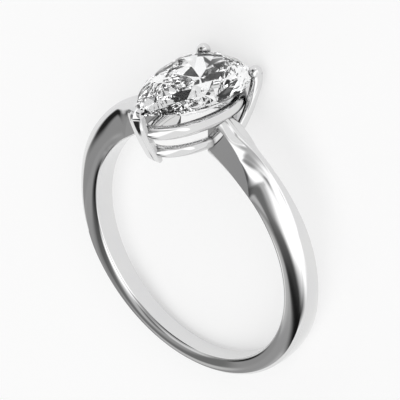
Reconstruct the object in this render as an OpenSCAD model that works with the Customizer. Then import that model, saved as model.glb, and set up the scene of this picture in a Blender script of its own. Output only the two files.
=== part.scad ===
// Solitaire ring with a pear-cut stone, lying on its side.
//
// A plain polished band narrows to the back and rises at its shoulders
// to an open setting: two round-wire rails that follow the stone's
// outline, a folded claw over the stone's point and two round claws
// with bead tips beside its round end. Band and setting are one
// soldered piece of metal; the stone is a separate solid.
//
// Everything is drawn upright first: X across the finger, Y along the
// finger with the stone's point towards -Y, Z towards the stone, and
// the finger hole's centre at the origin. lay_down() then turns the
// ring onto its side, as it rests on a table.

/* [Finger hole] */

// Inner diameter of the band
hole_d = 16.8; // [16.7:0.1:17]
// Size of the small bevel along both inner edges
edge_bevel = 0.07; // [0.04:0.01:0.1]

/* [Band] */

// Full width of the inner face at the back, opposite the stone
inner_w_back = 1.12; // [1:0.02:1.3]
// Full width of the inner face at the two sides
inner_w_side = 1.44; // [1.3:0.02:1.5]
// Full width of the inner face towards the stone
inner_w_top = 1.68; // [1.5:0.02:1.7]
// Full width of the band's flanks
band_w = 1.76; // [1.7:0.02:2]
// Height of the flanks above the hole at the back
flank_h_back = 0.86; // [0.8:0.02:1]
// Height of the flanks above the hole at the two sides
flank_h_side = 1.59; // [1.45:0.01:1.65]
// Height of the flanks above the hole towards the stone
flank_h_top = 2.27; // [2.2:0.01:2.32]
// Height of the bevelled edge between flank and outer face at the back
edge_h = 0.18; // [0.12:0.01:0.22]
// Width of the bevelled edge between flank and outer face at the back
edge_w = 0.17; // [0.1:0.01:0.25]
// Full width of the outer face where the flanks roll over into it
crest_w = 0.92; // [0.84:0.02:1]
// Share of that width left at the shoulders
crest_share = 0.48; // [0.4:0.02:0.8]
// Height of the outer face's gentle crown
crown_h = 0.08; // [0.04:0.01:0.15]
// Full width over the flat faces ground on the shoulders
shoulder_w = 1.72; // [1.6:0.02:1.76]
// Distance from the middle of the ring to the inner end of a shoulder
shoulder_x = 1.95; // [1.8:0.05:2.05]
// Height of the flat face on a shoulder, at its inner end
ground_top = 2.55; // [2.5:0.01:2.58]
// Angle from the stone where the edge of that face starts to fall
ground_from = 10; // [9:0.5:11]
// Angle from the stone where that face ends
ground_to = 40; // [38:1:42]
// Rise of the bevel under a shoulder, at its inner end
shoulder_bevel = 0.55; // [0.3:0.05:0.6]

/* [Stone] */

// Width of the stone
stone_w = 5.76; // [5.5:0.02:6]
// Distance from the widest place to the point
stone_tip = 5.9; // [5.6:0.05:6.2]
// Distance from the widest place to the round end
stone_end = 3.4; // [3.2:0.05:3.45]
// Place of the widest line along the finger
stone_y = 0.8; // [0.6:0.05:0.85]
// Height of the girdle's middle above the centre of the hole
girdle_z = 12.35; // [12.3:0.05:12.4]
// Thickness of the girdle
girdle_t = 0.16; // [0.1:0.02:0.16]
// Height of the crown above the girdle
crown_z = 0.85; // [0.7:0.05:0.95]
// Depth of the pavilion below the girdle
pavilion_z = 2.42; // [2.2:0.02:2.5]
// Size of the table as a share of the outline
table_share = 0.6; // [0.54:0.01:0.64]
// Gap kept between stone and metal
stone_gap = 0.04; // [0.02:0.01:0.06]

/* [Setting] */

// Wire thickness of the upper rail
upper_d = 0.88; // [0.8:0.02:0.88]
// Height of the upper rail's middle above the centre of the hole
upper_z = 11.0; // [10.95:0.05:11]
// Full width of the upper rail, over the wire's middle
upper_w = 4.74; // [4.6:0.02:4.76]
// Reach of the upper rail towards the point
upper_tip = 4.95; // [4.8:0.05:5]
// Reach of the upper rail towards the round end
upper_end = 3.05; // [3:0.05:3.05]
// Wire thickness of the base rail
base_d = 0.76; // [0.7:0.02:0.8]
// Height of the base rail's middle above the centre of the hole
base_z = 9.32; // [9.28:0.01:9.45]
// Full width of the base rail, over the wire's middle
base_w = 4.4; // [4.2:0.02:4.5]
// Reach of the base rail towards the point
base_tip = 4.25; // [4.2:0.05:4.3]
// Reach of the base rail towards the round end
base_end = 2.7; // [2.4:0.05:2.8]
// Place of the rails' widest line along the finger
rail_y = 0.4; // [0.3:0.05:0.45]
// Full width of the folded claw over the point
claw_w = 1.14; // [1:0.02:1.2]
// Thickness of the folded claw
claw_t = 0.42; // [0.38:0.02:0.5]
// Thickness of the two round claws
prong_d = 0.66; // [0.6:0.02:0.68]
// Diameter of the bead on each round claw
bead_d = 0.92; // [0.8:0.02:1]

/* [Smoothness] */

// Steps around the band
band_steps = 75; // [61:2:121]
// Steps around each rail
rail_steps = 44; // [40:4:80]
// Sides of the wires
wire_sides = 12; // [12:2:20]

/* [Hidden] */

hole_r = hole_d / 2;
half_w = band_w / 2;
flat_y = shoulder_w / 2;

// ---- small helpers ----

function mix(a, b, t) = a + (b - a) * t;
function clamp01(t) = min(1, max(0, t));
function ease(t) = let (u = clamp01(t)) u * u * (3 - 2 * u);
// value that passes through back, side and top as the angle from the
// stone goes from 180 over 90 to 0
function around(back, side, top, a) =
    let (c = cos(a)) side + (top - back) / 2 * c + ((top + back) / 2 - side) * c * c;
function unit(v) = v / norm(v);
// smooth curve through the rows of a table, u from 0 to len - 1
function through(p, u) =
    let (n = len(p) - 1, i = min(n - 1, max(0, floor(u))), t = u - i,
         p0 = p[max(0, i - 1)], p1 = p[i], p2 = p[i + 1], p3 = p[min(n, i + 2)])
    0.5 * (2 * p1 + (p2 - p0) * t + (2 * p0 - 5 * p1 + 4 * p2 - p3) * t * t
           + (3 * p1 - p0 - 3 * p2 + p3) * t * t * t);

// skin between equal rings of points; closed joins the last to the first
module skin(rings, closed = false) {
    m = len(rings);
    k = len(rings[0]);
    polyhedron(
        points = [for (r = rings) for (p = r) p],
        faces = concat(
            [for (i = [0 : m - (closed ? 1 : 2)]) for (j = [0 : k - 1])
                let (a = i * k + j, b = i * k + (j + 1) % k,
                     c = ((i + 1) % m) * k + (j + 1) % k, d = ((i + 1) % m) * k + j)
                for (f = [[a, b, c], [a, c, d]]) f],
            closed ? [] : [[for (j = [k - 1 : -1 : 0]) j], [for (j = [0 : k - 1]) (m - 1) * k + j]]),
        convexity = 8);
}

// ---- band ----

function inner_y(a) = around(inner_w_back, inner_w_side, inner_w_top, a) / 2;
function flank_h(a) = around(flank_h_back, flank_h_side, flank_h_top, a);
function edge_rise(a) = edge_h * (1 - 0.16 * cos(a) - 0.16 * cos(a) * cos(a));
// the outer face climbs a little more where a shoulder meets the upper rail
function climb(a) = 0.42 * ease((21 - a) / 8);

// height of the flat face ground on a shoulder: its edge falls along a
// parabola, as a flat cut across a round band does
function ground(a) = ground_top * max(0, 1 - pow(max(0, a - ground_from) / (ground_to - ground_from), 2));
// lean of a flank from upright where it meets the flat face on a shoulder,
// at the face's slanting end and towards the stone
foot_lean = 9;
foot_lean_top = -10;
// least lean where it meets the outer face on a shoulder
crest_lean = 62;
// lean on the side of the band: columns are share of its height and angle
LEAN_SIDE = [[0, -9], [0.28, 6], [0.58, 14], [0.85, 28], [1, 46]];
FLANK_STEPS = [0.3, 0.55, 0.8, 1];
ROLL_STEPS = [0.25, 0.45, 0.62, 0.78, 0.9, 1];

// half width of a plain flank at a share t of its height
function flank_y(a, t) = mix(inner_y(a) + edge_bevel, half_w, t) + 0.2 * t * (1 - t);
// a flank on a shoulder rolls over sooner, the flatter its way to the
// outer face; chord is that way's lean
function lean(a, t, chord) =
    let (top = max(crest_lean, chord + 14), foot = mix(foot_lean_top, foot_lean, ease((a - 24) / 12)),
         p = (top - foot) / (max(chord, 18) - foot) - 1)
    mix(mix(foot, top, pow(t, p)), lookup(t, LEAN_SIDE), ease((a - 33) / 20));
// how far a flank of length t gets sideways and upwards as it leans
function reach(a, t, chord) =
    [for (i = [0 : 11]) t / 12] *
    [for (i = [0 : 11]) let (b = lean(a, (i + 0.5) / 12 * t, chord)) [sin(b), cos(b)]];
// places on a rolled flank between its foot and the outer face
function rolled(a, foot, crest) =
    let (chord = atan2(foot[0] - crest[0], crest[1] - foot[1]), e = reach(a, 1, chord),
         k = (crest[1] - foot[1]) / e[1], s = (foot[0] - crest[0] - k * e[0]) / e[1])
    [for (t = ROLL_STEPS) let (p = reach(a, t, chord)) [foot[0] - k * p[0] - s * p[1], foot[1] + k * p[1]]];
// places on a plain flank and its bevelled edge
function plain(a, rise, h, e) =
    concat([for (t = FLANK_STEPS) [flank_y(a, mix(0.12, 1, t)), hole_r + mix(rise, h, mix(0.12, 1, t))]],
           [[half_w - 0.47 * edge_w, hole_r + h + 0.47 * e], [half_w - edge_w, hole_r + h + e]]);
// under a shoulder the bevel along the inner edge opens towards its end
function open_bevel(a) = pow(clamp01((37 - a) / 25), 1.5);
// half of the section as [half width, radius], from the hole outwards
function half_section(a) =
    let (h = flank_h(a), e = edge_rise(a), o = open_bevel(a),
         rise = mix(edge_bevel, shoulder_bevel, o),
         y1 = min(flat_y, inner_y(a) + edge_bevel + 0.1 * o),
         y0 = y1 - mix(edge_bevel, 0.3, o),
         foot = [y1, hole_r + max(ground(a), rise + 0.12 * h)],
         roll = ease((118 - a) / 46),
         w = crest_w / 2 * mix(crest_share, 1, ease((a - 28) / 47)),
         crest = [mix(half_w - edge_w, w, roll), hole_r + h + e + climb(a)],
         p = plain(a, rise, h, e), q = rolled(a, foot, [w, crest[1]]))
    concat([[y0, hole_r + 0.03], [y1, hole_r + rise], foot],
           [for (i = [0 : 5]) mix(p[i], q[i], roll)],
           [[0.5 * crest[0], crest[1] + 0.75 * crown_h]]);
function section(a) =
    let (s = half_section(a), n = len(s), top = hole_r + flank_h(a) + edge_rise(a) + climb(a) + crown_h)
    concat([for (p = s) [-p[0], p[1]]], [[0, top]], [for (i = [n - 1 : -1 : 0]) s[i]]);
// angles of the sections, closer together at the shoulders
function band_angle(i) =
    let (t = i / band_steps * 2 - 1, s = abs(t), a = 180 - 168.5 * (s + 0.22 * s * (1 - s)))
    t < 0 ? a : 360 - a;

// a section stands on a radius; the first and the last one stand on the
// plane where a shoulder ends
function band_ring(i) =
    let (g = band_angle(i), a = min(g, 360 - g), last = i == 0 || i == band_steps)
    [for (p = section(a)) last
        ? [sign(sin(g)) * shoulder_x, p[0], sqrt(p[1] * p[1] - shoulder_x * shoulder_x)]
        : [p[1] * sin(g), p[0], p[1] * cos(g)]];

// the turned inner face of the band, open under the setting
liner_w = inner_w_back - 2 * edge_bevel - 0.02;
module liner() {
    difference() {
        rotate([90, 0, 0]) rotate_extrude($fn = 120)
            translate([hole_r, -liner_w / 2]) square([0.3, liner_w]);
        translate([-shoulder_x - 0.15, -band_w, 0])
            cube([2 * shoulder_x + 0.3, 2 * band_w, hole_d]);
    }
}

module band() {
    skin([for (i = [0 : band_steps]) band_ring(i)]);
    liner();
}

// ---- stone ----

// the outline is two side arcs that meet at the point and half an
// ellipse around the other end; grow moves it outwards
arc_r = ((stone_w / 2) * (stone_w / 2) + stone_tip * stone_tip) / stone_w;
arc_cx = stone_w / 2 - arc_r;
// s runs from 0 at the point over 0.5 at the round end to 1 at the point;
// a place is [x, y, outward normal x, outward normal y]
turn_share = 0.3;
function outline(s, grow = 0) =
    let (u = s <= 0.5 ? s : 1 - s, side = s <= 0.5 ? 1 : -1,
         r = arc_r + grow, a_tip = asin(sqrt(r * r - arc_cx * arc_cx) / r))
    u < turn_share
        ? let (a = a_tip * (1 - u / turn_share))
            [side * (arc_cx + r * cos(a)), stone_y - r * sin(a), side * cos(a), -sin(a)]
        : let (b = 90 * (u - turn_share) / (0.5 - turn_share),
               ex = stone_w / 2 + grow, ey = stone_end + grow,
               n = unit([cos(b) / ex, sin(b) / ey]))
            [side * ex * cos(b), stone_y + ey * sin(b), side * n[0], n[1]];

// eight main facets of the crown and of the pavilion stand at these places
MAINS = [0, 0.115, 0.265, 0.39, 0.5, 0.61, 0.735, 0.885];
// places halfway between the mains, on the girdle
function main_at(i) = i < 8 ? MAINS[i] : 1;
function half_at(i) = (main_at(i) + main_at(i + 1)) / 2;

// plane through a girdle place that also holds the girdle's direction
// there: [nx, ny, nz, d]
function plane(p, q, along) =
    let (n = unit(cross(along, q - p))) [n[0], n[1], n[2], n * p];
// where three planes meet
function det3(a, b, c) = a * cross(b, c);
function meet(a, b, c) =
    let (na = [a[0], a[1], a[2]], nb = [b[0], b[1], b[2]], nc = [c[0], c[1], c[2]])
    (a[3] * cross(nb, nc) + b[3] * cross(nc, na) + c[3] * cross(na, nb)) / det3(na, nb, nc);

stone_c = [0, stone_y - 0.35];
module pear(grow = 0) {
    zt = girdle_z + girdle_t / 2;
    zb = girdle_z - girdle_t / 2;
    g = [for (i = [0 : 7]) outline(main_at(i), grow)];
    m = [for (i = [0 : 7]) outline(half_at(i), grow)];
    top = zt + crown_z + grow;
    low = zb - pavilion_z - 1.3 * grow;
    tab = [for (p = g) [stone_c[0] + table_share * (p[0] - stone_c[0]),
                        stone_c[1] + table_share * (p[1] - stone_c[1]), top]];
    gt = [for (p = g) [p[0], p[1], zt + grow / 2]];
    gb = [for (p = g) [p[0], p[1], zb - grow / 2]];
    mt = [for (p = m) [p[0], p[1], zt + grow / 2]];
    mb = [for (p = m) [p[0], p[1], zb - grow / 2]];
    culet = [0, stone_y - 0.2, low];
    along = [for (i = [0 : 7]) i == 0 ? [1, 0, 0] : [-g[i][3], g[i][2], 0]];
    up = [for (i = [0 : 7]) plane(gt[i], tab[i], along[i])];
    dn = [for (i = [0 : 7]) plane(gb[i], culet, along[i])];
    // corners between two crown mains, at a share of the crown's height
    star = [for (i = [0 : 7]) let (j = (i + 1) % 8)
        meet(up[i], up[j], [0, 0, 1, zt + 0.56 * crown_z + grow / 2])];
    // corners between two pavilion mains, on their shared edge near the culet
    lower = [for (i = [0 : 7]) let (j = (i + 1) % 8)
        meet(dn[i], dn[j], [0, 0, 1, mix(zb, low, 0.72)])];
    hull() polyhedron(
        points = concat(tab, star, gt, mt, gb, mb, lower, [culet]),
        faces = [for (i = [0 : 54]) [i, i + 1, i + 2]]);
}

module stone_solid() { pear(); }

// ---- setting ----

// round wire bent to the stone's outline, softer at the point
module rail(d, z, w, tip, end) {
    skin([for (i = [0 : rail_steps - 1])
        let (a = 360 * (i + 0.5) / rail_steps, long = cos(a) > 0 ? tip : end,
             p = [w / 2 * sin(a), rail_y - long * cos(a)],
             n = unit([long * sin(a), -w / 2 * cos(a)]))
        [for (j = [0 : wire_sides - 1]) let (b = 360 * j / wire_sides)
            [p[0] + d / 2 * cos(b) * n[0], p[1] + d / 2 * cos(b) * n[1], z + d / 2 * sin(b)]]],
        closed = true);
}

// the folded claw's outer face bends inwards below the girdle
claw_h = claw_w / 2;
claw_out = 5.55;
claw_bend = 0.25;
bend_from = girdle_z + 0.25;
function claw_y(z) = -claw_out + claw_bend * pow(max(0, bend_from - z), 1.35);
// its sections: columns are z, how far the lip is drawn back over the
// stone, half width as a share, how far the fold stands out, thickness
// as a share, width of the fold's slopes as a share
CLAW = [[8.44, 0.00, 1.00, 0.00, 0.80, 0.00],
        [9.20, 0.00, 1.00, 0.01, 1.00, 0.00],
        [9.90, 0.00, 1.00, 0.02, 1.00, 0.00],
        [10.6, 0.00, 0.98, 0.05, 1.00, 0.10],
        [11.3, 0.00, 0.98, 0.10, 1.00, 0.45],
        [12.0, 0.00, 1.00, 0.16, 1.00, 0.85],
        [12.4, 0.00, 1.00, 0.18, 1.05, 1.00],
        [12.6, 0.00, 0.96, 0.10, 1.20, 0.50],
        [12.8, 0.07, 0.88, 0.04, 1.30, 0.10],
        [12.95, 0.3, 0.66, 0.01, 1.20, 0.00]];
// half width of the fold's flat spine, and the most its slopes add
spine_w = 0.1;
slope_w = 0.28;
function claw_ring(r, dir) =
    let (hw = claw_h * r[2], f = r[3], t = claw_t * r[4], in = [dir[1], -dir[0]],
         w = min(hw - 0.08, spine_w + 0.04 + slope_w * max(0, r[5])),
         half = [[hw, 0.1 + 0.6 * t], [hw, 0.1], [hw - 0.05, 0.045], [w, 0.02 - 0.1 * f], [spine_w, -f]])
    [for (q = concat([[-0.75 * hw, 0.1 + t], [0.75 * hw, 0.1 + t]], half,
                     [for (i = [4 : -1 : 0]) [-half[i][0], half[i][1]]]))
        [q[0], r[0] + q[1] * in[0], r[1] + q[1] * in[1]]];
module claw() {
    n = 18;
    // each row: y and z of the outer face, then the shares
    rows = [for (i = [0 : n]) let (r = through(CLAW, i / n * (len(CLAW) - 1)))
        [claw_y(r[0]) + max(0, r[1]), r[0], r[2], r[3], r[4], r[5]]];
    skin([for (i = [0 : n])
        let (a = rows[max(0, i - 1)], b = rows[min(n, i + 1)],
             d = unit([b[0] - a[0], max(b[1] - a[1], 0.05)]))
        claw_ring(rows[i], i > n - 3 ? unit([0.25, 1]) : d)]);
}

// round claw from the shoulder up to the bead: columns are x, y, z and
// thickness as a share
PRONG = [[3.22, 0.10, 9.75, 0.95], [3.12, 0.95, 10.1, 0.95], [2.84, 1.95, 10.62, 1.00],
         [2.55, 2.80, 11.3, 1.08], [2.40, 3.28, 12.0, 1.18], [2.26, 3.44, 12.55, 1.25]];
module prong() {
    n = 12;
    rows = [for (i = [0 : n]) through(PRONG, i / n * (len(PRONG) - 1))];
    at = [for (r = rows) [r[0], r[1], r[2]]];
    skin([for (i = [0 : n])
        let (d = unit(at[min(n, i + 1)] - at[max(0, i - 1)]),
             e = unit(cross(d, [0, -1, 0.4])), f = cross(d, e))
        [for (j = [0 : wire_sides - 1]) let (b = -360 * j / wire_sides)
            at[i] + prong_d / 2 * rows[i][3] * (cos(b) * e + sin(b) * f)]]);
    translate(at[n] + [-0.06, -0.06, 0.05]) sphere(d = bead_d, $fn = 32);
}

module setting() {
    rail(upper_d, upper_z, upper_w, upper_tip, upper_end);
    rail(base_d, base_z, base_w, base_tip, base_end);
    // the claws are cut to seat the stone
    difference() {
        union() {
            claw();
            for (m = [0, 1]) mirror([m, 0, 0]) prong();
        }
        pear(stone_gap);
    }
}

// ---- lying on its side ----

// the ring rests on the round end of the stone's girdle and on the
// lower edge of the band's back
rest_y = stone_y + stone_end - half_w;
rest_z = girdle_z - girdle_t / 2 + hole_r + flank_h_back;
rest_tilt = atan(rest_y / rest_z);
rest_h = half_w * cos(rest_tilt) + (hole_r + flank_h_back) * sin(rest_tilt);
// half way between the stone's table and the back of the band
centre_y = 2.07;

module lay_down() {
    translate([0, -centre_y, rest_h]) rotate([rest_tilt - 90, 0, 0]) children();
}

// ---- pieces ----

module band_and_setting() {
    color([0.88, 0.88, 0.89])
        lay_down() union() { band(); setting(); }
}

module stone() {
    color([0.93, 0.95, 0.98, 0.6]) lay_down() stone_solid();
}

band_and_setting();
stone();
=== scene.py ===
"""Looks of the solitaire ring: dense polished metal, a cut stone, floor, light and camera."""
import math
import bmesh
import bpy
from mathutils import Matrix, Vector


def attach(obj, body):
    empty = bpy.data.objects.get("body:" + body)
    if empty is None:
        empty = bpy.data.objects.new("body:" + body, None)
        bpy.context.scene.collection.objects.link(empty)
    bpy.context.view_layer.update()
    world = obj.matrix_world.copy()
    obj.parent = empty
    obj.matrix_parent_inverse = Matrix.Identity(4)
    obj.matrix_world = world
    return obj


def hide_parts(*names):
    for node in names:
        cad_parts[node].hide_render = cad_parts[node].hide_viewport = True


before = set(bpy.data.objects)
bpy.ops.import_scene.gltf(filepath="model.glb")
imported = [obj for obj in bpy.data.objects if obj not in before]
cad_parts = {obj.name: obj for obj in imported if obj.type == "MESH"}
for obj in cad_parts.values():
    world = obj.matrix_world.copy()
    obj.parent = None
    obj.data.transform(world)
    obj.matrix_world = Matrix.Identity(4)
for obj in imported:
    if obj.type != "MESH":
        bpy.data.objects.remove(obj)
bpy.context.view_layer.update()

# ---- sizes in millimetres, as in the CAD model ----
HOLE_R = 8.4
BEVEL = 0.07
INNER_W = (1.12, 1.44, 1.68)      # back, side, top
FLANK_H = (0.86, 1.59, 2.27)
HALF_W = 0.88
EDGE_H, EDGE_W, CROWN_H = 0.18, 0.17, 0.08
FLAT_Y = 0.86
SHOULDER_X, SHOULDER_BEVEL = 1.95, 0.55
STONE_W, STONE_TIP, STONE_END, STONE_Y = 5.76, 5.9, 3.4, 0.8
GIRDLE_Z, GIRDLE_T, CROWN_Z, PAVILION_Z, TABLE = 12.35, 0.16, 0.85, 2.42, 0.6
UPPER = dict(d=0.88, z=11.0, w=4.74, tip=4.95, end=3.05)
BASE = dict(d=0.76, z=9.32, w=4.4, tip=4.25, end=2.7)
RAIL_Y = 0.4
CLAW_W, CLAW_T = 1.14, 0.42
PRONG_D, BEAD_D = 0.66, 0.92
CENTRE_Y = 2.07

# ---- from the upright ring to the ring on its side, in metres ----
rest_y = STONE_Y + STONE_END - HALF_W
rest_z = GIRDLE_Z - GIRDLE_T / 2 + HOLE_R + FLANK_H[0]
TILT = math.atan2(rest_y, rest_z)
REST_H = HALF_W * math.cos(TILT) + (HOLE_R + FLANK_H[0]) * math.sin(TILT)
TURN = Matrix.Rotation(TILT - math.pi / 2, 4, "X")
LAY = Matrix.Scale(0.001, 4) @ Matrix.Translation((0, -CENTRE_Y, REST_H)) @ TURN


# ---- helpers ----
def mix(a, b, t):
    return a + (b - a) * t


def clamp01(t):
    return min(1.0, max(0.0, t))


def ease(t):
    u = clamp01(t)
    return u * u * (3 - 2 * u)


def cosd(a):
    return math.cos(math.radians(a))


def sind(a):
    return math.sin(math.radians(a))


def around(values, a):
    back, side, top = values
    c = cosd(a)
    return side + (top - back) / 2 * c + ((top + back) / 2 - side) * c * c


def curve_at(rows, x):
    """Smooth curve through a table of (x, value) rows."""
    if x <= rows[0][0]:
        return rows[0][1]
    if x >= rows[-1][0]:
        return rows[-1][1]
    i = max(k for k in range(len(rows) - 1) if rows[k][0] <= x)

    def slope(k):
        if k <= 0 or k >= len(rows) - 1:
            return 0.0
        return (rows[k + 1][1] - rows[k - 1][1]) / (rows[k + 1][0] - rows[k - 1][0])

    h = rows[i + 1][0] - rows[i][0]
    t = (x - rows[i][0]) / h
    return ((2 * t ** 3 - 3 * t ** 2 + 1) * rows[i][1] + (t ** 3 - 2 * t ** 2 + t) * h * slope(i)
            + (-2 * t ** 3 + 3 * t ** 2) * rows[i + 1][1] + (t ** 3 - t ** 2) * h * slope(i + 1))


def through(rows, u):
    """Catmull-Rom curve through the rows of a table, u from 0 to len - 1."""
    n = len(rows) - 1
    i = min(n - 1, max(0, int(math.floor(u))))
    t = u - i
    p0, p1, p2, p3 = rows[max(0, i - 1)], rows[i], rows[i + 1], rows[min(n, i + 2)]
    return [0.5 * (2 * b + (c - a) * t + (2 * a - 5 * b + 4 * c - d) * t * t
                   + (3 * b - a - 3 * c + d) * t ** 3) for a, b, c, d in zip(p0, p1, p2, p3)]


def finish_mesh(bm, name, sharp_angle=25, flat=False):
    """Writes a bmesh drawn upright in millimetres as an object in the row frame."""
    bmesh.ops.recalc_face_normals(bm, faces=bm.faces)
    for f in bm.faces:
        f.smooth = not flat
    for e in bm.edges:
        if e.smooth and len(e.link_faces) == 2:
            e.smooth = e.calc_face_angle(0) < math.radians(sharp_angle)
    bm.transform(LAY)
    me = bpy.data.meshes.new(name)
    bm.to_mesh(me)
    bm.free()
    ob = bpy.data.objects.new(name, me)
    bpy.context.scene.collection.objects.link(ob)
    return ob


def sweep(bm, rings, closed=False, sharp=()):
    """Quads between equal rings of points; sharp names ring places that stay crisp along the sweep."""
    vs = [[bm.verts.new(p) for p in r] for r in rings]
    m, k = len(vs), len(vs[0])
    for i in range(m if closed else m - 1):
        a, b = vs[i], vs[(i + 1) % m]
        for j in range(k):
            f = bm.faces.new((a[j], a[(j + 1) % k], b[(j + 1) % k], b[j]))
            for e in f.edges:
                on = {j, (j + 1) % k}
                ends = set(e.verts)
                for s in sharp:
                    if s in on and ends == {a[s], b[s]}:
                        e.smooth = False
    if not closed:
        for r in (vs[0], vs[-1]):
            f = bm.faces.new(r)
            for e in f.edges:
                e.smooth = False
    return vs


# ---- band ----
def flank_y(a, t):
    """Half width of a plain flank at a share t of its height."""
    y0 = around(INNER_W, a) / 2 + BEVEL
    return mix(y0, HALF_W, t) + 0.05 * 4 * t * (1 - t)


# the flat face ground on a shoulder: height at its inner end, angles where its edge starts to fall and ends
GROUND_TOP, GROUND_FROM, GROUND_TO = 2.55, 10, 40


def ground_at(a):
    return GROUND_TOP * max(0.0, 1 - (max(0.0, a - GROUND_FROM) / (GROUND_TO - GROUND_FROM)) ** 2)


N_FLAT, N_CURVED, N_EDGE, N_CROWN = 4, 12, 6, 8
CREST_W = 0.46        # half width of the outer face where the flanks roll over into it
CREST_SHARE = 0.48    # and what is left of it at the shoulders


# lean of the rolled flank from upright, in degrees, by its share of height: on the shoulder and on the side
FOOT_LEAN, CREST_LEAN = 9, 62
LEAN_SIDE = [(0, -9), (0.28, 6), (0.58, 14), (0.85, 28), (1, 46)]


def roll_over(a, start, end):
    """Points from a flank's foot to the outer face, leaning as the tables say and then fitted to both ends."""
    side = ease((a - 33) / 20)
    chord = math.degrees(math.atan2(start[0] - end[0], end[1] - start[1]))
    top = max(CREST_LEAN, chord + 14)
    foot = mix(-10, FOOT_LEAN, ease((a - 24) / 12))
    power = (top - foot) / (max(chord, 18) - foot) - 1
    n = N_CURVED + N_EDGE
    path = [(0.0, 0.0)]
    for i in range(n):
        t = (i + 0.5) / n
        lean = mix(mix(foot, top, t ** power), curve_at(LEAN_SIDE, t), side)
        path.append((path[-1][0] + sind(lean) / n, path[-1][1] + cosd(lean) / n))
    (u, v), drop, height = path[-1], start[0] - end[0], end[1] - start[1]
    return [(start[0] - height / v * x - (drop - height / v * u) * y / v, start[1] + height / v * y)
            for x, y in path[1:]]


def half_section(a):
    """[half width, radius] from the hole outwards, and the places of its crisp lines."""
    h = around(FLANK_H, a)
    e = EDGE_H * (1 - 0.16 * cosd(a) - 0.16 * cosd(a) ** 2)
    c = 0.42 * ease((21 - a) / 8)
    o = clamp01((37 - a) / 25) ** 1.5
    rise = mix(BEVEL, SHOULDER_BEVEL, o)
    y1 = min(FLAT_Y, around(INNER_W, a) / 2 + BEVEL + 0.1 * o)
    y0 = y1 - mix(BEVEL, 0.3, o)
    out, crisp = [(y0, HOLE_R)], [0]
    out.append((mix(y0, y1, 0.62), HOLE_R + rise * 0.38))
    out.append((y1, HOLE_R + rise))
    crisp.append(len(out) - 1)
    # the face ground flat on a shoulder ends along a slanting line
    ground = max(ground_at(a), rise + 0.03 * h)
    for i in range(N_FLAT):
        out.append((y1, HOLE_R + mix(rise, ground, (i + 1) / N_FLAT)))
    if a < 40:
        crisp.append(len(out) - 1)
    foot = out[-1]
    # towards the back: a nearly flat flank and a small round edge
    plain = []
    for i in range(N_CURVED):
        t = mix(0.03, 1, (i + 1) / N_CURVED)
        plain.append((flank_y(a, t), HOLE_R + mix(rise, h, t)))
    w = plain[-1][0]
    p0, m, p2 = plain[-1], (w - 0.47 * EDGE_W, HOLE_R + h + 0.47 * e + c), (w - EDGE_W, HOLE_R + h + e + c)
    mid = [2 * m[k] - 0.5 * (p0[k] + p2[k]) for k in (0, 1)]
    for i in range(N_EDGE):
        t = (i + 1) / N_EDGE
        plain.append(tuple((1 - t) ** 2 * p0[k] + 2 * t * (1 - t) * mid[k] + t * t * p2[k] for k in (0, 1)))
    # towards the shoulders: the whole flank rolls over into a narrower outer face
    roll = ease((118 - a) / 46)
    narrow = CREST_W * mix(CREST_SHARE, 1, ease((a - 28) / 47))
    crest = (mix(w - EDGE_W, narrow, roll), HOLE_R + h + e + c)
    rolled = roll_over(a, foot, (narrow, crest[1]))
    out += [tuple(mix(p[k], q[k], roll) for k in (0, 1)) for p, q in zip(plain, rolled)]
    w = out[-1][0]
    crisp.append(len(out) - 1)
    for i in range(N_CROWN - 1):
        t = (i + 1) / N_CROWN
        y = w * (1 - t)
        out.append((y, HOLE_R + h + e + c + CROWN_H * (1 - (y / w) ** 2)))
    out.append((0.0, HOLE_R + h + e + c + CROWN_H))
    return out, crisp


def band():
    bm = bmesh.new()
    n = 300
    rings = []
    crisp = []
    for i in range(n + 1):
        t = i / n * 2 - 1
        s = abs(t)
        a = 180 - 168.5 * (s + 0.22 * s * (1 - s))
        g = a if t < 0 else 360 - a
        half, marks = half_section(a)
        if len(marks) > len(crisp):
            crisp = marks
        loop = [(-y, r) for y, r in half] + [(y, r) for y, r in half[-2::-1]]
        if i in (0, n):
            x = math.copysign(SHOULDER_X, sind(g))
            rings.append([(x, y, math.sqrt(r * r - x * x)) for y, r in loop])
        else:
            rings.append([(r * sind(g), y, r * cosd(g)) for y, r in loop])
    k = len(rings[0])
    sharp = set(crisp) | {k - 1 - c for c in crisp}
    sweep(bm, rings, sharp=sharp)
    return finish_mesh(bm, "band", 30)


# ---- rails and claws ----
def rail(name, d, z, w, tip, end):
    bm = bmesh.new()
    rings = []
    for i in range(200):
        a = math.radians(360 * i / 200)
        long = tip if math.cos(a) > 0 else end
        p = Vector((w / 2 * math.sin(a), RAIL_Y - long * math.cos(a), z))
        nrm = Vector((long * math.sin(a), -w / 2 * math.cos(a), 0)).normalized()
        rings.append([p + d / 2 * (math.cos(b) * nrm + math.sin(b) * Vector((0, 0, 1)))
                      for b in (2 * math.pi * j / 36 for j in range(36))])
    sweep(bm, rings, closed=True)
    return finish_mesh(bm, name, 60)


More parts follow.
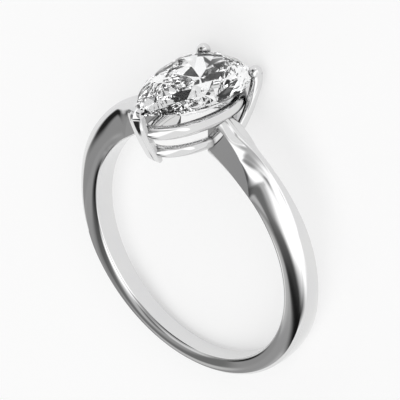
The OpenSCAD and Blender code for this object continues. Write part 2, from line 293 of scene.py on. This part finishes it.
# z, draw-back of the lip, half width, stand-out of the spine, thickness, wedge width (shares as in the CAD)
CLAW = [(8.44, 0.00, 1.00, 0.00, 0.80, 0.0), (9.20, 0.00, 1.00, 0.01, 1.00, 0.0),
        (9.90, 0.00, 1.00, 0.02, 1.00, 0.0), (10.6, 0.00, 0.98, 0.05, 1.00, 0.10),
        (11.3, 0.00, 0.98, 0.10, 1.00, 0.45), (12.0, 0.00, 1.00, 0.16, 1.00, 0.85),
        (12.4, 0.00, 1.00, 0.18, 1.05, 1.0), (12.6, 0.00, 0.96, 0.10, 1.20, 0.5),
        (12.8, 0.07, 0.88, 0.04, 1.30, 0.1), (12.95, 0.3, 0.66, 0.01, 1.20, 0.0)]
CLAW_OUT, CLAW_BEND, BEND_FROM = 5.55, 0.25, 12.6
SPINE_W, WEDGE_W = 0.10, 0.28


def claw():
    bm = bmesh.new()
    n = 100
    rows = []
    for i in range(n + 1):
        z, back, *shares = through(CLAW, i / n * (len(CLAW) - 1))
        y = -CLAW_OUT + CLAW_BEND * max(0, BEND_FROM - z) ** 1.35 + max(0, back)
        rows.append((y, z, *shares))
    rings = []
    for i, r in enumerate(rows):
        a, b = rows[max(0, i - 3)], rows[min(n, i + 3)]
        d = Vector((b[0] - a[0], max(b[1] - a[1], 0.02))).normalized()
        into = (d.y, -d.x)
        hw, f, t = CLAW_W / 2 * r[2], r[3], CLAW_T * r[4]
        w = min(hw - 0.08, SPINE_W + 0.04 + WEDGE_W * max(0, r[5]))
        half = [(hw, 0.1 + 0.6 * t), (hw, 0.1), (hw - 0.05, 0.045), (w, 0.02 - 0.1 * f), (SPINE_W, -f)]
        profile = ([(-0.75 * hw, 0.1 + t), (0.75 * hw, 0.1 + t)] + half + [(-x, q) for x, q in half[::-1]])
        rings.append([(x, r[0] + q * into[0], r[1] + q * into[1]) for x, q in profile])
    sweep(bm, rings)
    ob = finish_mesh(bm, "point_claw", 20)
    return ob


# x, y, z and thickness as a share
PRONG = [(3.22, 0.10, 9.75, 0.95), (3.12, 0.95, 10.1, 0.95), (2.84, 1.95, 10.62, 1.0),
         (2.55, 2.80, 11.3, 1.08), (2.40, 3.28, 12.0, 1.18), (2.26, 3.44, 12.55, 1.25)]


def prong(name, side):
    bm = bmesh.new()
    n = 60
    rows = [through(PRONG, i / n * (len(PRONG) - 1)) for i in range(n + 1)]
    at = [Vector(r[:3]) for r in rows]
    rings = []
    for i in range(n + 1):
        d = (at[min(n, i + 1)] - at[max(0, i - 1)]).normalized()
        e = d.cross(Vector((0, -1, 0.4))).normalized()
        f = d.cross(e)
        rings.append([at[i] + PRONG_D / 2 * rows[i][3] * (math.cos(b) * e + math.sin(b) * f)
                      for b in (2 * math.pi * j / 32 for j in range(32))])
    sweep(bm, [[(side * p.x, p.y, p.z) for p in r] for r in rings])
    c = at[n] + Vector((-0.06, -0.06, 0.05))
    bmesh.ops.create_uvsphere(bm, u_segments=48, v_segments=32, radius=BEAD_D / 2,
                              matrix=Matrix.Translation((side * c.x, c.y, c.z)))
    return finish_mesh(bm, name, 50)


# ---- stone ----
ARC_R = ((STONE_W / 2) ** 2 + STONE_TIP ** 2) / STONE_W
ARC_CX = STONE_W / 2 - ARC_R
TURN_SHARE = 0.3


def outline(s):
    """Place and outward normal on the girdle, s from 0 at the point over 0.5 at the round end to 1."""
    u, side = (s, 1) if s <= 0.5 else (1 - s, -1)
    tip = math.degrees(math.asin(math.sqrt(ARC_R ** 2 - ARC_CX ** 2) / ARC_R))
    if u < TURN_SHARE:
        a = tip * (1 - u / TURN_SHARE)
        return (side * (ARC_CX + ARC_R * cosd(a)), STONE_Y - ARC_R * sind(a), side * cosd(a), -sind(a))
    b = 90 * (u - TURN_SHARE) / (0.5 - TURN_SHARE)
    n = Vector((cosd(b) / (STONE_W / 2), sind(b) / STONE_END)).normalized()
    return (side * STONE_W / 2 * cosd(b), STONE_Y + STONE_END * sind(b), side * n.x, n.y)


MAINS = [0, 0.115, 0.265, 0.39, 0.5, 0.61, 0.735, 0.885]
STONE_C = Vector((0, STONE_Y - 0.35, 0))


def pear():
    """The stone as real facets: an extruded outline cut by the plane of each facet."""
    zt, zb = GIRDLE_Z + GIRDLE_T / 2, GIRDLE_Z - GIRDLE_T / 2
    top, low = zt + CROWN_Z, zb - PAVILION_Z
    g = [outline(s) for s in MAINS]
    m = [outline((s + e) / 2) for s, e in zip(MAINS, MAINS[1:] + [1])]
    tab = [Vector((mix(STONE_C.x, p[0], TABLE), mix(STONE_C.y, p[1], TABLE), top)) for p in g]
    gt = [Vector((p[0], p[1], zt)) for p in g]
    gb = [Vector((p[0], p[1], zb)) for p in g]
    mt = [Vector((p[0], p[1], zt)) for p in m]
    mb = [Vector((p[0], p[1], zb)) for p in m]
    culet = Vector((0, STONE_Y - 0.2, low))
    along = [Vector((1, 0, 0)) if i == 0 else Vector((-g[i][3], g[i][2], 0)) for i in range(8)]

    def plane(p, q, r):
        n = (q - p).cross(r - p).normalized()
        c = Vector((0, STONE_Y, GIRDLE_Z))
        return (p, n if (p - c).dot(n) > 0 else -n)

    def meet(a, b, z):
        (pa, na), (pb, nb) = a, b
        mtx = Matrix((na, nb, Vector((0, 0, 1))))
        return mtx.inverted() @ Vector((pa.dot(na), pb.dot(nb), z))

    up = [plane(gt[i], tab[i], gt[i] + along[i]) for i in range(8)]
    dn = [plane(gb[i], culet, gb[i] + along[i]) for i in range(8)]
    star = [meet(up[i], up[(i + 1) % 8], zt + 0.56 * CROWN_Z) for i in range(8)]
    lower = [meet(dn[i], dn[(i + 1) % 8], mix(zb, low, 0.72)) for i in range(8)]
    cuts = [(Vector((0, 0, top)), Vector((0, 0, 1)))] + up + dn
    for i in range(8):
        j = (i + 1) % 8
        cuts.append(plane(tab[i], tab[j], star[i]))
        for e in (i, j):
            cuts.append(plane(gt[e], mt[i], star[i]))
            cuts.append(plane(gb[e], mb[i], lower[i]))

    bm = bmesh.new()
    ring = [outline(k / 128) for k in range(128)]
    lo = [bm.verts.new((p[0], p[1], low - 0.5)) for p in ring]
    hi = [bm.verts.new((p[0], p[1], top + 0.5)) for p in ring]
    bm.faces.new(lo)
    bm.faces.new(hi)
    for i in range(128):
        j = (i + 1) % 128
        bm.faces.new((lo[i], lo[j], hi[j], hi[i]))
    for p, n in cuts:
        res = bmesh.ops.bisect_plane(bm, geom=bm.verts[:] + bm.edges[:] + bm.faces[:], dist=1e-5,
                                     plane_co=p, plane_no=n, clear_outer=True)
        edges = [e for e in res["geom_cut"] if isinstance(e, bmesh.types.BMEdge) and e.is_boundary]
        if edges:
            bmesh.ops.holes_fill(bm, edges=edges, sides=0)
    bmesh.ops.remove_doubles(bm, verts=bm.verts[:], dist=2e-4)
    bmesh.ops.dissolve_limit(bm, angle_limit=math.radians(0.05), verts=bm.verts[:], edges=bm.edges[:])
    bmesh.ops.triangulate(bm, faces=[f for f in bm.faces if len(f.verts) > 4])
    return finish_mesh(bm, "cut_stone", flat=True)


metal_pieces = [band(), rail("upper_rail", **UPPER), rail("base_rail", **BASE), claw(),
                prong("round_claw_right", 1), prong("round_claw_left", -1)]
stone_piece = pear()


# ---- materials ----
# painted seam shade: how far the occlusion test reaches, and the occlusion range over which the base colour
# darkens
SEAM_SHADE_REACH, SEAM_SHADE_FROM, SEAM_SHADE_TO = 0.0008, 0.32, 0.86


def new_material(name):
    mat = bpy.data.materials.new(name)
    mat.use_nodes = True
    nt = mat.node_tree
    return mat, nt, nt.nodes["Principled BSDF"]


def metal_material():
    """Polished white gold: fine buffing haze, faint warm and cool patches, soft micro relief, and painted
    shade that darkens the seams.
    """
    mat, nt, bsdf = new_material("polished_white_gold")
    coord = nt.nodes.new("ShaderNodeTexCoord")
    bsdf.inputs["Metallic"].default_value = 1.0
    tone = nt.nodes.new("ShaderNodeTexNoise")
    tone.inputs["Scale"].default_value = 260
    tone.inputs["Detail"].default_value = 3
    ramp = nt.nodes.new("ShaderNodeValToRGB")
    ramp.color_ramp.elements[0].position, ramp.color_ramp.elements[1].position = 0.35, 0.65
    ramp.color_ramp.elements[0].color = (0.735, 0.735, 0.741, 1)
    ramp.color_ramp.elements[1].color = (0.758, 0.757, 0.754, 1)
    nt.links.new(coord.outputs["Object"], tone.inputs["Vector"])
    nt.links.new(tone.outputs["Fac"], ramp.inputs["Fac"])
    # painted shade: the base colour turns near black where the seams under the stone and between the wires are
    # occluded
    seam_occlusion = nt.nodes.new("ShaderNodeAmbientOcclusion")
    seam_occlusion.inputs["Distance"].default_value = SEAM_SHADE_REACH
    seam_occlusion.samples = 12
    shade_depth = nt.nodes.new("ShaderNodeMapRange")
    shade_depth.interpolation_type = "SMOOTHSTEP"
    shade_depth.inputs["From Min"].default_value, shade_depth.inputs["From Max"].default_value = SEAM_SHADE_FROM, SEAM_SHADE_TO
    shade_depth.inputs["To Min"].default_value, shade_depth.inputs["To Max"].default_value = 1.0, 0.0
    painted_seam_shade = nt.nodes.new("ShaderNodeMix")
    painted_seam_shade.data_type = "RGBA"
    painted_seam_shade.inputs["B"].default_value = (0.02, 0.02, 0.022, 1)
    nt.links.new(seam_occlusion.outputs["AO"], shade_depth.inputs["Value"])
    nt.links.new(shade_depth.outputs["Result"], painted_seam_shade.inputs["Factor"])
    nt.links.new(ramp.outputs["Color"], painted_seam_shade.inputs["A"])
    nt.links.new(painted_seam_shade.outputs["Result"], bsdf.inputs["Base Color"])
    haze = nt.nodes.new("ShaderNodeTexNoise")
    haze.inputs["Scale"].default_value = 1400
    haze.inputs["Detail"].default_value = 5
    span = nt.nodes.new("ShaderNodeMapRange")
    span.inputs["To Min"].default_value, span.inputs["To Max"].default_value = 0.03, 0.075
    nt.links.new(coord.outputs["Object"], haze.inputs["Vector"])
    nt.links.new(haze.outputs["Fac"], span.inputs["Value"])
    nt.links.new(span.outputs["Result"], bsdf.inputs["Roughness"])
    bump = nt.nodes.new("ShaderNodeBump")
    bump.inputs["Strength"].default_value = 0.02
    bump.inputs["Distance"].default_value = 0.00002
    nt.links.new(haze.outputs["Fac"], bump.inputs["Height"])
    nt.links.new(bump.outputs["Normal"], bsdf.inputs["Normal"])
    return mat


def stone_material():
    """Colourless cut diamond: high index, polish lines too faint to blur, tiny tint changes."""
    mat, nt, bsdf = new_material("cut_diamond")
    coord = nt.nodes.new("ShaderNodeTexCoord")
    bsdf.inputs["Transmission Weight"].default_value = 1.0
    bsdf.inputs["IOR"].default_value = 2.417
    bsdf.inputs["Specular Tint"].default_value = (0.15, 0.15, 0.15, 1)
    tint = nt.nodes.new("ShaderNodeTexNoise")
    tint.inputs["Scale"].default_value = 420
    ramp = nt.nodes.new("ShaderNodeValToRGB")
    ramp.color_ramp.elements[0].color = (0.985, 0.99, 1.0, 1)
    ramp.color_ramp.elements[1].color = (1.0, 1.0, 1.0, 1)
    nt.links.new(coord.outputs["Object"], tint.inputs["Vector"])
    nt.links.new(tint.outputs["Fac"], ramp.inputs["Fac"])
    nt.links.new(ramp.outputs["Color"], bsdf.inputs["Base Color"])
    lines = nt.nodes.new("ShaderNodeTexNoise")
    lines.inputs["Scale"].default_value = 2600
    span = nt.nodes.new("ShaderNodeMapRange")
    span.inputs["To Min"].default_value, span.inputs["To Max"].default_value = 0.0, 0.012
    nt.links.new(coord.outputs["Object"], lines.inputs["Vector"])
    nt.links.new(lines.outputs["Fac"], span.inputs["Value"])
    nt.links.new(span.outputs["Result"], bsdf.inputs["Roughness"])
    return mat


metal = metal_material()
for ob in metal_pieces:
    ob.data.materials.append(metal)
    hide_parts("band_and_setting")
    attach(ob, "root")
stone_piece.data.materials.append(stone_material())
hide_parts("stone")
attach(stone_piece, "root")


# ---- floor, light and camera ----
def plain(name, colour, rough=1.0):
    mat, nt, bsdf = new_material(name)
    bsdf.inputs["Base Color"].default_value = (*colour, 1)
    bsdf.inputs["Roughness"].default_value = rough
    bsdf.inputs["Specular IOR Level"].default_value = 0.0
    return mat


def sheet(name, size, at=(0, 0, 0), toward=None):
    bm = bmesh.new()
    bmesh.ops.create_grid(bm, x_segments=1, y_segments=1, size=0.5)
    me = bpy.data.meshes.new(name)
    bm.to_mesh(me)
    bm.free()
    ob = bpy.data.objects.new(name, me)
    bpy.context.scene.collection.objects.link(ob)
    ob.scale = (size[0], size[1], 1)
    ob.location = at
    if toward is not None:
        ob.rotation_euler = (Vector(toward) - Vector(at)).to_track_quat("Z", "Y").to_euler()
    return ob


floor = sheet("floor", (4, 4), (0, 0, -0.00002))
floor.data.materials.append(plain("pale_floor", (0.42, 0.42, 0.42)))
# the floor glows a little, like a light table, so shadows on it stay faint
glow = floor.data.materials[0].node_tree.nodes["Principled BSDF"]
glow.inputs["Emission Color"].default_value = (1, 1, 1, 1)
glow.inputs["Emission Strength"].default_value = 0.57

# The studio around the ring: pale walls with large soft lights and dark flags, as hung for
# polished metal. Columns: name, compass angle (0 = +Y, 90 = +X), height above the floor, half
# width, half height and roll in degrees, softness of the edge, brightness. Later rows lie on top.
WALLS = 0.95
STUDIO = [
    ("large_softbox", 115.7, 67.9, 87.2, 27.4, 0, 0.31, 1.411),
    ("ceiling", -52.4, 75.1, 33, 21.2, 0, 0.14, 0.336),
    ("grey_back_wall", -130.4, 50.1, 44.1, 33.4, 0, 0.08, 0.56),
    ("grey_back_wall_low", -104.6, 40.8, 33.8, 23.7, 0, 0.08, 0.37),
    ("grey_back_wall_foot", -122.6, 21.3, 8, 15.6, 0, 0.28, 0.329),
    ("dim_corner", -131, 47.6, 35.7, 9.6, 0, 0.45, 0.188),
    ("ceiling_edge", -177.3, 80.8, 6.4, 9.9, 0, 0.95, 1.096),
    ("second_softbox", -178.9, 61, 11.8, 19.6, 0, 0.43, 1.537),
    ("side_glow", -75.6, 59.9, 9.5, 15.9, 0, 0.65, 0.844),
    ("low_light", 32.9, 3.6, 49.9, 11.2, 0, 0.08, 1.406),
    ("overhead_flag", -118, 72.8, 6.7, 7.5, 0, 0.47, 0.187),
    ("head_panel", 10.8, 49.6, 15.1, 22.2, 0, 0.45, 0.447),
    ("rail_flag", 13.2, 59.2, 6.2, 5.1, 0, 0.15, 0.304),
    ("bottom_flag", -30.4, 49.9, 18.9, 17.9, 0, 0.37, 0.027),
    ("dim_gap", -135, 40.8, 5.5, 5.7, 0, 0.44, 0.635),
    ("flag_fade", -177.1, 43, 20.6, 8.2, 0, 0.95, 0.008),
    ("long_flag", -169.4, 36.8, 19.6, 6.3, 0, 0.3, 0.009),
    ("side_flag", -105.7, 25.6, 14.3, 7.9, 35, 0.43, 0.019),
    ("small_glow", 22, 17.9, 9.3, 13.4, 0, 0.83, 0.526),
    ("claw_flag", 180.9, 13.1, 10.1, 11.6, 0, 0.41, 0.026),
]
TENT = [
    ("gap_a", -1, 37, 19, 13.5, 53, 0.15, 0.01),
    ("gap_b", -21, 57, 19, 13.5, 34, 0.15, 0.01),
    ("gap_c", -45, 33, 19, 13.5, -4, 0.15, 0.01),
    ("gap_d", 21, 14, 19, 13.5, 86, 0.15, 0.01),
    ("gap_e", -15, 13, 19, 13.5, -30, 0.15, 0.01),
    ("gap_f", -63, 69, 19, 13.5, 57, 0.15, 0.01),
    ("gap_g", 33, 41, 19, 13.5, -53, 0.15, 0.01),
    ("gap_h", -156, 21, 19, 13.5, 10, 0.15, 0.01),
    ("gap_i", -36, 6, 19, 13.5, -72, 0.15, 0.01),
    ("gap_j", 52, 6, 19, 13.5, 3, 0.15, 0.01),
    ("gap_k", -120, 17, 19, 13.5, 9, 0.15, 0.01),
    ("gap_l", 12, 20, 19, 13.5, 26, 0.15, 0.01),
    ("gap_m", 69, 30, 19, 13.5, 46, 0.15, 0.01),
    ("gap_n", 92, 3, 19, 13.5, 49, 0.15, 0.01),
    ("gap_o", 15, 2, 19, 13.5, 68, 0.15, 0.01),
    ("gap_p", -65, 42, 19, 13.5, -62, 0.15, 0.01),
]
world = bpy.data.worlds.new("studio")
bpy.context.scene.world = world
world.use_nodes = True
wt = world.node_tree


def number(op, a, b=None):
    node = wt.nodes.new("ShaderNodeMath")
    node.operation = op
    for i, v in enumerate((a, b)):
        if isinstance(v, (int, float)):
            node.inputs[i].default_value = v
        elif v is not None:
            wt.links.new(v, node.inputs[i])
    return node.outputs[0]


def along(vec, axis):
    node = wt.nodes.new("ShaderNodeVectorMath")
    node.operation = "DOT_PRODUCT"
    wt.links.new(vec, node.inputs[0])
    node.inputs[1].default_value = axis
    return node.outputs["Value"]


def panel_mask(vec, az, el, half_w, half_h, roll, soft):
    """1 inside an ellipse of the sky round a direction, fading to 0 over its soft edge."""
    aim = Vector((sind(az) * cosd(el), cosd(az) * cosd(el), sind(el)))
    u = Vector((cosd(az), -sind(az), 0))
    v = u.cross(aim) if u.cross(aim).z > 0 else aim.cross(u)
    u, v = cosd(roll) * u + sind(roll) * v, cosd(roll) * v - sind(roll) * u
    y = along(vec, aim)
    flat = wt.nodes.new("ShaderNodeCombineXYZ")
    wt.links.new(along(vec, u / math.tan(math.radians(half_w))), flat.inputs[0])
    wt.links.new(along(vec, v / math.tan(math.radians(half_h))), flat.inputs[1])
    size = wt.nodes.new("ShaderNodeVectorMath")
    size.operation = "LENGTH"
    wt.links.new(flat.outputs[0], size.inputs[0])
    span = wt.nodes.new("ShaderNodeMapRange")
    span.interpolation_type = "SMOOTHSTEP"
    span.inputs["From Min"].default_value, span.inputs["From Max"].default_value = 1 - soft, 1 + soft
    span.inputs["To Min"].default_value, span.inputs["To Max"].default_value = 1.0, 0.0
    wt.links.new(number("DIVIDE", size.outputs["Value"], number("MAXIMUM", y, 0.001)), span.inputs["Value"])
    return number("MULTIPLY", span.outputs["Result"], number("GREATER_THAN", y, 0.0))


toward = wt.nodes.new("ShaderNodeTexCoord").outputs["Generated"]
level = None
for name, az, el, half_w, half_h, roll, soft, bright in STUDIO:
    m = panel_mask(toward, az, el, half_w, half_h, roll, soft)
    blend = wt.nodes.new("ShaderNodeMix")
    blend.name = name
    blend.data_type = "FLOAT"
    wt.links.new(m, blend.inputs[0])
    if level is None:
        blend.inputs[2].default_value = WALLS
    else:
        wt.links.new(level, blend.inputs[2])
    blend.inputs[3].default_value = bright
    level = blend.outputs[0]
# light that comes through the stone: a pale tent with dark gaps between its panels
tent = None
for name, az, el, half_w, half_h, roll, soft, bright in TENT:
    m = panel_mask(toward, az, el, half_w, half_h, roll, soft)
    blend = wt.nodes.new("ShaderNodeMix")
    blend.name = name
    blend.data_type = "FLOAT"
    wt.links.new(m, blend.inputs[0])
    if tent is None:
        blend.inputs[2].default_value = 1.8
    else:
        wt.links.new(tent, blend.inputs[2])
    blend.inputs[3].default_value = bright
    tent = blend.outputs[0]
rays = wt.nodes.new("ShaderNodeLightPath")
through_stone = wt.nodes.new("ShaderNodeMix")
through_stone.data_type = "FLOAT"
wt.links.new(rays.outputs["Is Transmission Ray"], through_stone.inputs[0])
wt.links.new(level, through_stone.inputs[2])
wt.links.new(tent, through_stone.inputs[3])
level = through_stone.outputs[0]
# straight behind the ring is plain pale
seen = wt.nodes.new("ShaderNodeMix")
seen.data_type = "FLOAT"
wt.links.new(rays.outputs["Is Camera Ray"], seen.inputs[0])
wt.links.new(level, seen.inputs[2])
seen.inputs[3].default_value = 0.95
wt.links.new(seen.outputs[0], wt.nodes["Background"].inputs["Strength"])
wt.nodes["Background"].inputs["Color"].default_value = (1, 1, 1, 1)

# a broad lamp from above that brightens the floor only, so the metal mirrors a pale floor
lamp_data = bpy.data.lights.new("floor_fill", "SUN")
lamp_data.energy = 0.5
lamp_data.angle = math.radians(170)
lamp = bpy.data.objects.new("floor_fill", lamp_data)
lamp.visible_glossy = False
lamp.visible_transmission = False
bpy.context.scene.collection.objects.link(lamp)

# camera fitted to the photograph, in the upright ring's frame in millimetres
AZ, EL, SHIFT_X, SHIFT_Y, DIST, FOCAL = 41.846, 33.923, -0.384, 2.931, 114.105, 1699.3
back = Vector((sind(AZ) * cosd(EL), -cosd(AZ) * cosd(EL), sind(EL)))
right = (-back).cross(Vector((0, 0, 1))).normalized()
up = back.cross(right)
eye = back * DIST - right * SHIFT_X + up * SHIFT_Y
cam_data = bpy.data.cameras.new("camera")
cam_data.sensor_width = 36
cam_data.lens = FOCAL * 36 / 400
cam_data.clip_start, cam_data.clip_end = 0.005, 20
cam = bpy.data.objects.new("camera", cam_data)
bpy.context.scene.collection.objects.link(cam)
axes = Matrix((right, up, back)).transposed().to_4x4()
cam.matrix_world = Matrix.Translation(LAY @ eye) @ (TURN.to_3x3() @ axes.to_3x3()).to_4x4()
bpy.context.scene.camera = cam
bpy.context.scene.view_settings.view_transform = "Standard"
# a cut stone throws light about inside many times before it lets it out
bpy.context.scene.cycles.max_bounces = 24
bpy.context.scene.cycles.glossy_bounces = 16
bpy.context.scene.cycles.transmission_bounces = 24
